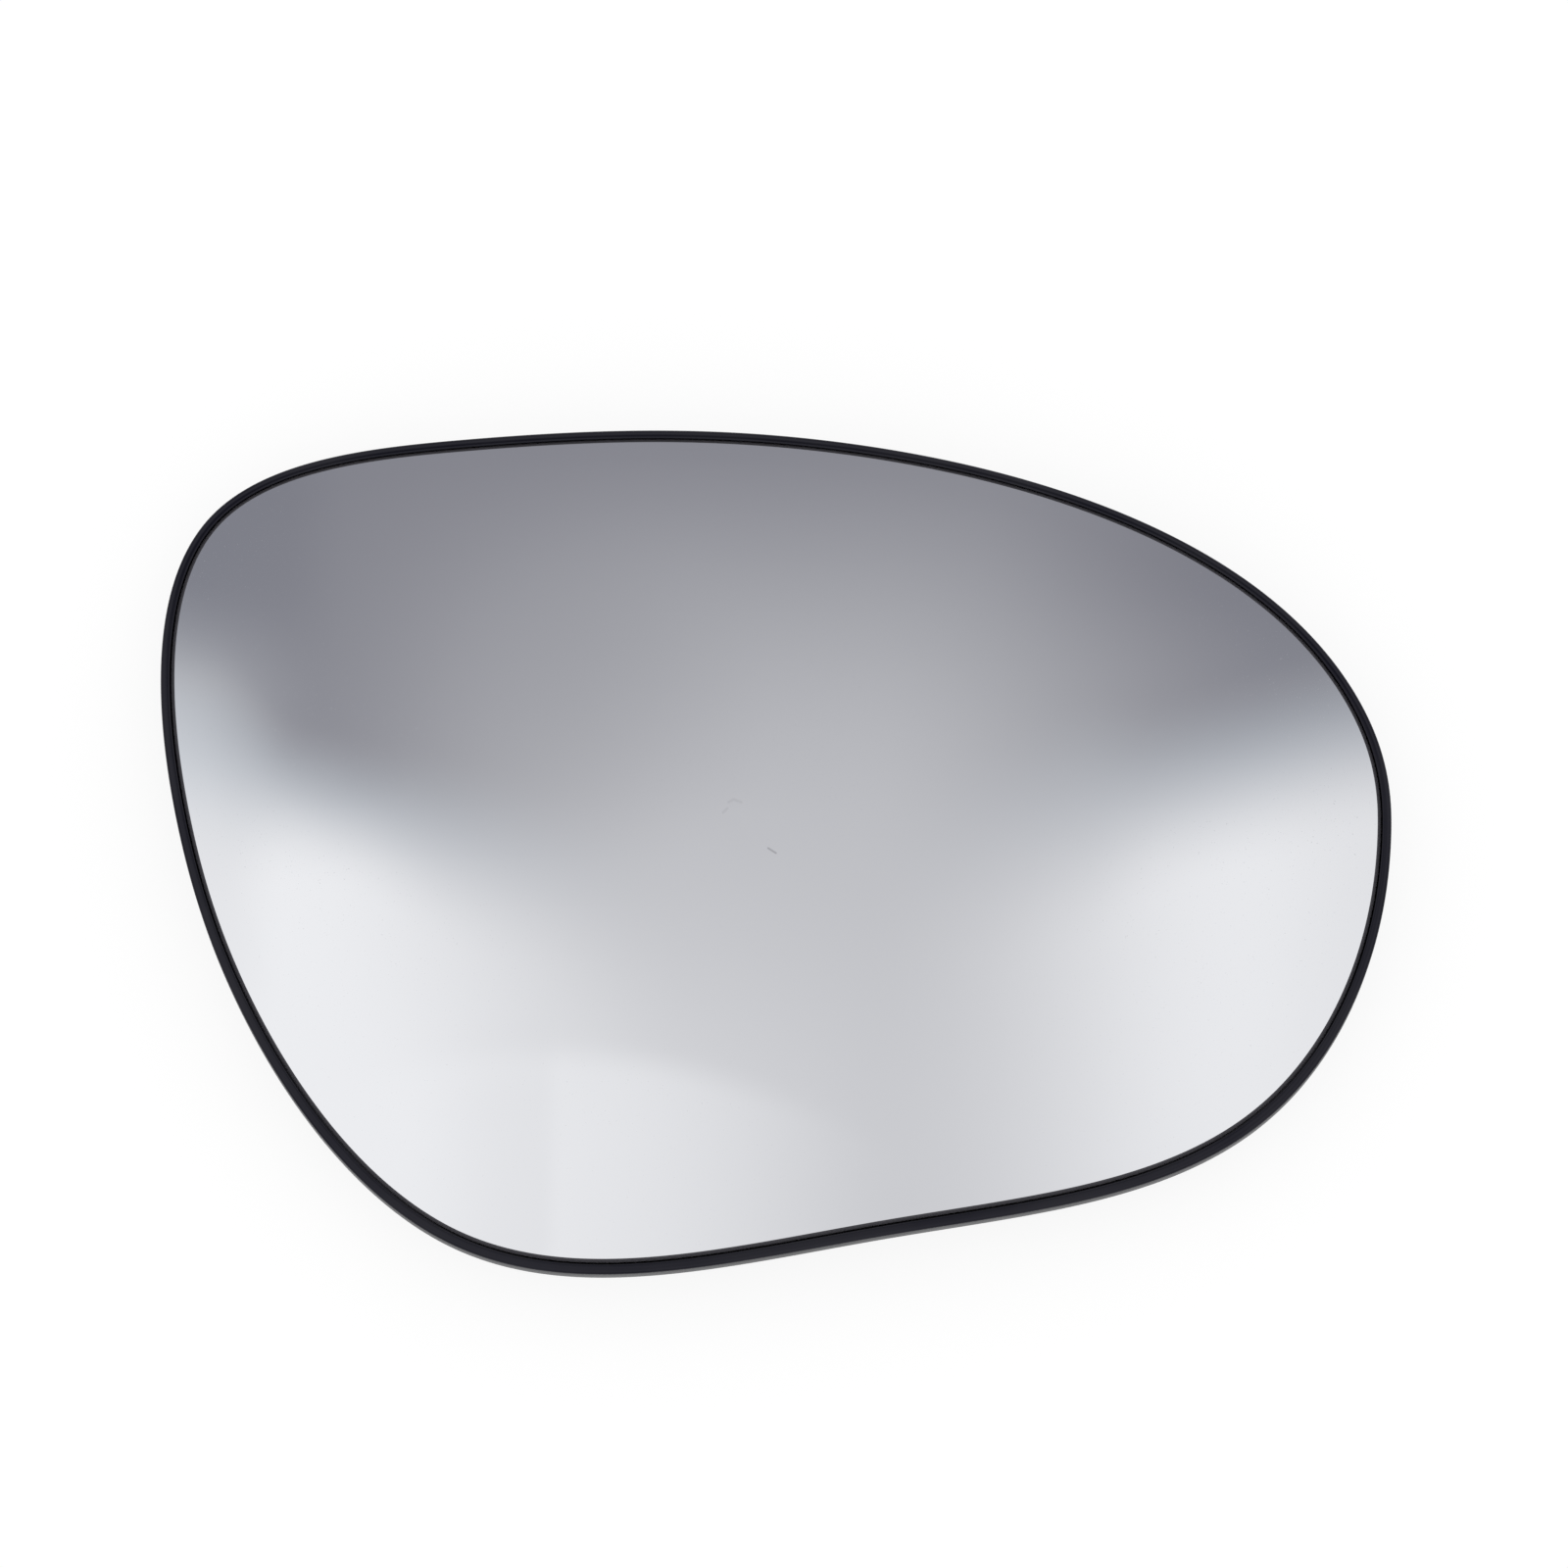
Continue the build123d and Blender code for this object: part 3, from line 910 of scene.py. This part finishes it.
class PanePiece(bpy.types.Operator):
    """Convex pane, silvered, with a ground edge"""

    bl_idname = "mirror_glass.pane"
    bl_label = "Silvered pane"

    def execute(self, context):
        pane = sizes().pane
        edge = sizes().plate.rim_width + pane.gap
        front, back = layer("glass_front"), layer("glass_back")
        rings = face_rings(edge + pane.arris, front)
        rings += [ring_at(edge, front - pane.arris), ring_at(edge, back + pane.arris)]
        rings += face_rings(edge + pane.arris, back)[::-1]
        seated = raised(rings, sizes().plate.recess_rise + pane.seat_rise)
        made = new_object("silvered_pane", lofted("silvered_pane", seated))
        for material in (silvered_glass(), ground_edge()):
            made.data.materials.append(material)
        for face in made.data.polygons:
            face.material_index = int(face.normal.z < math.cos(SHARP_ANGLE))
        shaded(made.data)
        finished(made, "silvered_glass", "mirror_glass")
        return {"FINISHED"}


def plate_body():
    """Rim and sheet of the backing plate, before ribs and windows."""
    plate = sizes().plate
    land, back = layer("rim_front"), layer("sheet_back")
    rings = face_rings(plate.rim_width, layer("sheet_front"))
    for left, gone in quarter(plate.inner_round, plate.inner_round):
        rings.append(ring_at(plate.rim_width - gone, land - left))
    rings = raised(rings, plate.recess_rise)
    for left, gone in quarter(plate.crown_width, plate.crown_drop):
        rings.append(ring_at(left, land - gone))
    for left, gone in quarter(plate.back_round, plate.back_round):
        rings.append(ring_at(gone, back + left))
    rings += face_rings(plate.back_round, back)[-2::-1]
    return new_object("backing_plate_moulding", lofted("backing_plate_moulding", rings))


def claw_windows(repeat, material):
    """Cutters for the windows above the claws' lips."""
    ring = sizes().ring
    low = ring.lip_radius - ring.window_clearance
    high = ring_radius("claw_inner") + HIDDEN_STEP
    floor = lip_height("seat") + HIDDEN_STEP
    profile = [(low, floor), (high, floor), (high, over_all()), (low, over_all())]
    sweep = ring.claw_angle + 2 * ring.window_clearance / ring.lip_radius
    mesh = turned("claw_window", profile, sweep)
    return repeated(repeat, "claw_windows", mesh, ring.claw_count, 0.0, material)


def terminal_windows():
    """Cutters for the windows of the blade terminals, with rounded corners."""
    terminal = sizes().terminal
    half_x = terminal.foot_length / 2 + terminal.clearance
    half_y = terminal.blade_width / 2 + terminal.clearance
    x = terminal.place[0] - terminal.foot_length / 2
    windows = []
    for side in (-1, 1):
        y = terminal.place[1] + side * terminal.spacing / 2
        outline = rounded_corners((x, y), half_x, half_y, terminal.clearance / 2)
        mesh = prism("terminal_window", outline, under_sheet(), over_all())
        windows.append(new_object("terminal_window", mesh))
    return windows


def pin_marks(repeat, material):
    """Cutters for the round marks that the mould's ejector pins leave on the sheet's back."""
    plate = sizes().plate
    half = plate.pin_size / 2
    floor = layer("sheet_back") + plate.pin_depth
    turns = np.linspace(0, 2 * math.pi, 4 * ROUND_STEPS, endpoint=False)
    circles = ((plate.outer_pins, plate.rib_count), (plate.inner_pins, sizes().ring.claw_count))
    made = []
    for distance, count in circles:
        outline = [(distance + half * math.cos(turn), half * math.sin(turn)) for turn in turns]
        top = [ball_height(floor, math.hypot(x, y)) for x, y in outline]
        mesh = prism("pin_mark", outline, under_sheet(), top)
        made.append(repeated(repeat, "pin_marks", mesh, count, 0.0, material))
    return made


def guard_wall():
    """Wall around the claws, with a rounded free end."""
    ring = sizes().ring
    inner, outer = ring_radius("guard_inner"), ring_radius("guard_outer")
    top = ball_height(layer("sheet_middle"), outer)
    end = quarter(ring.guard_round, ring.guard_round)
    profile = [(inner, top)]
    profile += [(inner + gone, left) for left, gone in end]
    profile += [(outer - left, gone) for left, gone in end]
    profile.append((outer, top))
    return new_object("guard_wall", turned("guard_wall", profile, 2 * math.pi))


def hub():
    """Round rib in the middle of the seat."""
    ring = sizes().ring
    inner, outer = ring.hub_radius - ring.seat_rib, ring.hub_radius
    floor = lip_height("seat") + HIDDEN_STEP
    top = ball_height(layer("sheet_middle"), outer)
    mesh = turned("hub", [(inner, top), (inner, floor), (outer, floor), (outer, top)], 2 * math.pi)
    return new_object("hub", softened(mesh, sizes().plate.edge_softness))


def seat_ribs(repeat, material):
    """Ribs that the carrier disc seats on, between the claws."""
    ring = sizes().ring
    start, end = ring.hub_radius - ring.seat_rib / 2, ring_radius("guard_middle")
    floor = lip_height("seat")
    top = [(r, ball_height(layer("sheet_middle"), r)) for r in (end, start)]
    mesh = slab("seat_rib", [(start, floor), (end, floor), *top], ring.seat_rib)
    softened(mesh, sizes().plate.edge_softness)
    half_step = math.pi / ring.claw_count
    return repeated(repeat, "seat_ribs", mesh, ring.claw_count, half_step, material)


def claws(repeat, material):
    """Claws with their lips, around the axis."""
    ring = sizes().ring
    inner, outer = ring_radius("claw_inner"), ring_radius("claw_outer")
    top = ball_height(layer("sheet_middle"), outer)
    profile = [
        (inner, top),
        (outer, top),
        (outer, ring.claw_setback),
        (inner, ring.claw_setback),
        (ring.lip_radius, lip_height("land")),
        (ring.lip_radius, lip_height("shelf")),
        (inner, lip_height("shelf_root")),
    ]
    mesh = softened(turned("claw", profile, ring.claw_angle), sizes().plate.edge_softness)
    return repeated(repeat, "claws", mesh, ring.claw_count, 0.0, material)


def spokes(repeat, material):
    """Spokes from the guard wall to the edge rib, each with a gusset at its root."""
    plate = sizes().plate
    root, wall = ring_radius("guard_middle"), ring_radius("guard_outer")
    foot = ball_height(layer("sheet_back"), wall) - plate.gusset_height
    bottom = layer("rib_back") + HIDDEN_STEP
    slope_end = wall + plate.gusset_length * (1 - plate.rib_height / plate.gusset_height)
    along = np.linspace(slope_end, RIM_REACH, FACE_RINGS)
    profile = [(root, foot), (wall, foot)]
    profile += [(r, ball_height(bottom, r)) for r in along]
    profile += [(r, ball_height(layer("sheet_middle"), r)) for r in along[::-1]]
    profile.append((root, ball_height(layer("sheet_middle"), root)))
    mesh = softened(slab("spoke", profile, plate.rib_thickness), plate.edge_softness)
    half_step = math.pi / plate.rib_count
    made = repeated(repeat, "spokes", mesh, plate.rib_count, half_step, material)
    edge = inset_outline(plate.edge_rib_inset + plate.rib_thickness / 2)
    return combined(made, "INTERSECT", new_object("rib_room", prism("rib_room", edge, 0.0, over_all())))


def edge_rib(material):
    """Rib on the sheet's back that follows the rim, sunk into the sheet by half its thickness."""
    plate = sizes().plate
    height = plate.rib_height + plate.sheet_thickness / 2
    middle = layer("rib_back") + height / 2
    path = path_of("edge_rib_path", ring_at(plate.edge_rib_inset + plate.rib_thickness / 2, middle))
    made = along_path().grown("edge_rib", {
        "Path": path,
        "Width": plate.rib_thickness,
        "Height": height,
        "Softness": plate.edge_softness,
        "Material": material,
    })
    bpy.data.objects.remove(path)
    return made


class PlatePiece(bpy.types.Operator):
    """Backing plate: rim, sheet, ribs and clip ring in one moulding"""

    bl_idname = "mirror_glass.plate"
    bl_label = "Backing plate"

    def execute(self, context):
        material = black_plastic()
        repeat = around_axis()
        made = plate_body()
        made.data.materials.append(material)
        cutters = [claw_windows(repeat, material), *terminal_windows(), *pin_marks(repeat, material)]
        for cutter in cutters:
            combined(made, "DIFFERENCE", cutter)
        ribs = [edge_rib(material), spokes(repeat, material)]
        clip_ring = [guard_wall(), hub(), seat_ribs(repeat, material), claws(repeat, material)]
        for addition in ribs + clip_ring:
            combined(made, "UNION", addition)
        made.data.materials.clear()
        made.data.materials.append(material)
        for face in made.data.polygons:
            face.material_index = 0
        shaded(made.data)
        finished(made, "black_plastic", "backing_plate")
        return {"FINISHED"}


class HeaterPieces(bpy.types.Operator):
    """Finishes of the heater foil and its terminals"""

    bl_idname = "mirror_glass.heater"
    bl_label = "Heater"

    def execute(self, context):
        for name, material in (("heater_pad", heater_film()), ("heater_terminals", tinned_brass())):
            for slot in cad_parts[name].material_slots:
                slot.material = material
        return {"FINISHED"}


# Stage.
def tent_walls(x, y, z):
    """Light of the tent's walls with their sewn panels, and of what lies below."""
    height = abs(z)
    wall = height.smooth(*WALL_FOOT) * height.smooth(*WALL_TOP)
    seams = (x.bearing(y) * TENT_PANELS).cosine().smooth(*SEAM)
    return (1 - wall * (WALL_SHADE + SEAM_SHADE * seams)) * (1 - BELOW_SHADE * z.smooth(*BELOW))


def tent_roof(u, v):
    """Light of the tent's roof, and how cold it is along the edge and at the ends of the grey gap."""
    side = abs(u - POST_U)
    far_left = u.smooth(*FAR_LEFT)
    gap_edge = GAP_START + GAP_RIGHT_STEP * u.beyond(POST_U) + GAP_SLANT * side + GAP_LEFT_STEP * far_left
    softness = GAP_SOFTNESS + RIGHT_SOFTER * u.smooth(*RIGHT_SOFT_START) * u.smooth(*RIGHT_SOFT_END)
    softness = softness - FAR_LEFT_SHARPER * far_left + LEFT_END_SOFTER * u.smooth(*LEFT_END)
    gap = (v - gap_edge).smooth(-1 * softness, softness)
    light = CLOTH_LIGHT + (GAP_LIGHT - GAP_FALL * v - CLOTH_LIGHT) * gap
    post = side.smooth(*POST_SIDE)
    light = light.towards(POST_LIGHT - POST_FALL * v.smooth(*POST_FADE), post)
    cold = (1 - post) * (COLD_EDGE * gap * gap * (1 - gap)).most(gap * side.smooth(*COLD_ENDS))
    for across, away in CLOTH_PATCHES.values():
        light = light.towards(CLOTH_LIGHT, u.smooth(*across) * v.smooth(*away))
    sheet = (v + SHEET_SLANT * u + SHEET_BEND * u * u).smooth(*SHEET_EDGE)
    light = light.towards(CLOTH_LIGHT, SHEET_SHARE * u.smooth(*SHEET_END) * sheet)
    fold = u.smooth(*FOLD_SOFT_SIDE) * u.smooth(*FOLD_SHARP_SIDE) * v.smooth(*FOLD_END)
    beside_post = (u - BESIDE_POST[0]).reach(v - BESIDE_POST[1]).smooth(*BESIDE_POST_REACH)
    light = light * (1 - FOLD_SHADE * fold) * (1 - BESIDE_POST_SHADE * beside_post)
    for shade, across, away in SHADE_PATCHES.values():
        light = light * (1 - shade * u.smooth(*across) * v.smooth(*away))
    return light * (1 - RIGHT_SHADE * u.smooth(*RIGHT_SHADE_PLACE)), cold


def studio_world():
    """White tent. Reflections show its sewn panels and the grey gap through which the camera looks in."""
    world = bpy.data.worlds.new("studio")
    world.use_nodes = True
    world.cycles.sampling_method = "NONE"
    tree = Tree(world.node_tree)
    tree.tree.nodes.clear()
    x, y, z = tree.parts(tree.node("ShaderNodeTexCoord", output="Generated"))
    height = z.most(LEAST_HEIGHT)
    u, v = x / height, y / height
    wall = u.reach(v).smooth(*ROOF_END)
    light, cold = tent_roof(u, v)
    light = light.towards(tent_walls(x, y, z), wall)
    glossy = tree.node("ShaderNodeLightPath", output="Is Glossy Ray")
    shade = tree.mix(1 - glossy * (1 - light), SHADE_TINT, (1.0, 1.0, 1.0))
    shade = tree.mix(glossy * cold * (1 - wall), shade, COLD_TINT, "MULTIPLY")
    glow = tree.node("ShaderNodeBackground", None, {"Color": shade, "Strength": 1.0})
    tree.node("ShaderNodeOutputWorld", None, {"Surface": glow})
    bpy.context.scene.world = world


def white_floor():
    """White floor that stays white around the soft shadow, and is clear from below."""
    finish = Finish("studio_floor")
    camera = finish.node("ShaderNodeLightPath", output="Is Camera Ray")
    glossy = finish.node("ShaderNodeLightPath", output="Is Glossy Ray")
    plain = finish.node("ShaderNodeBsdfDiffuse", None, {"Color": FLOOR_COLOUR})
    white = finish.node("ShaderNodeEmission", None, {"Color": (1.0, 1.0, 1.0, 1.0), "Strength": FLOOR_GLOW})
    seen = camera.most(glossy) * FLOOR_WHITENESS
    top = finish.node("ShaderNodeMixShader", None, {"Fac": seen, 1: plain, 2: white})
    clear = finish.node("ShaderNodeBsdfTransparent")
    under = finish.node("ShaderNodeNewGeometry", output="Backfacing")
    mixed = finish.node("ShaderNodeMixShader", None, {"Fac": under, 1: top, 2: clear})
    finish.node("ShaderNodeOutputMaterial", None, {"Surface": mixed})
    return finish.material


def studio_floor():
    """Square floor under the object, which neither lights nor shades it."""
    stage = sizes().stage
    half = stage.floor_size / 2
    corners = [(-half, -half), (half, -half), (half, half), (-half, half)]
    mesh = bpy.data.meshes.new("studio_floor")
    mesh.from_pydata([(x, y, -stage.floor_drop) for x, y in corners], [], [(0, 1, 2, 3)])
    mesh.materials.append(white_floor())
    floor = new_object("studio_floor", mesh)
    floor.visible_diffuse = False
    floor.visible_shadow = False


def studio_camera():
    """Camera in front of the glass, tilted towards its lower edge."""
    stage = sizes().stage
    lens = bpy.data.cameras.new("camera")
    lens.sensor_width = SENSOR_WIDTH
    lens.lens = SENSOR_WIDTH * stage.distance / stage.view_width
    lens.clip_end = CLIP_DISTANCES * stage.distance
    turn = Euler((stage.tilt, 0.0, 0.0))
    offset = Vector((*stage.aim, stage.distance))
    offset.rotate(turn)
    camera = new_object("camera", lens)
    camera.rotation_euler = turn
    camera.location = (CAD_BOX[0] + CAD_BOX[1]) / 2 + offset
    bpy.context.scene.camera = camera


class StagePieces(bpy.types.Operator):
    """Floor, light and camera"""

    bl_idname = "mirror_glass.stage"
    bl_label = "Studio"

    def execute(self, context):
        studio_floor()
        studio_world()
        studio_camera()
        context.scene.view_settings.view_transform = "Standard"
        return {"FINISHED"}


class MirrorGlassPanel(bpy.types.Panel):
    """Lists the pieces and their settings"""

    bl_idname = "VIEW3D_PT_mirror_glass"
    bl_label = "Mirror glass"
    bl_space_type = "VIEW_3D"
    bl_region_type = "UI"
    bl_category = "Mirror glass"

    def draw(self, context):
        for operator in OPERATORS:
            self.layout.operator(operator.bl_idname)
        for group_name in Settings.__annotations__:
            group = getattr(sizes(), group_name)
            box = self.layout.box()
            for name in group.__annotations__:
                box.prop(group, name)


OPERATORS = (PanePiece, PlatePiece, HeaterPieces, StagePieces)
GROUPS = (PaneSizes, PlateSizes, RingSizes, TerminalSizes, Finishes, StageSettings, Settings)


def register():
    for each in (*GROUPS, *OPERATORS, MirrorGlassPanel):
        bpy.utils.register_class(each)
    bpy.types.Scene.mirror_glass = PointerProperty(type=Settings)


def unregister():
    del bpy.types.Scene.mirror_glass
    for each in reversed((*GROUPS, *OPERATORS, MirrorGlassPanel)):
        bpy.utils.unregister_class(each)


def main():
    """Builds the object and its studio."""
    register()
    bpy.ops.mirror_glass.pane()
    bpy.ops.mirror_glass.plate()
    bpy.ops.mirror_glass.heater()
    bpy.ops.mirror_glass.stage()


if __name__ == "__main__":
    main()
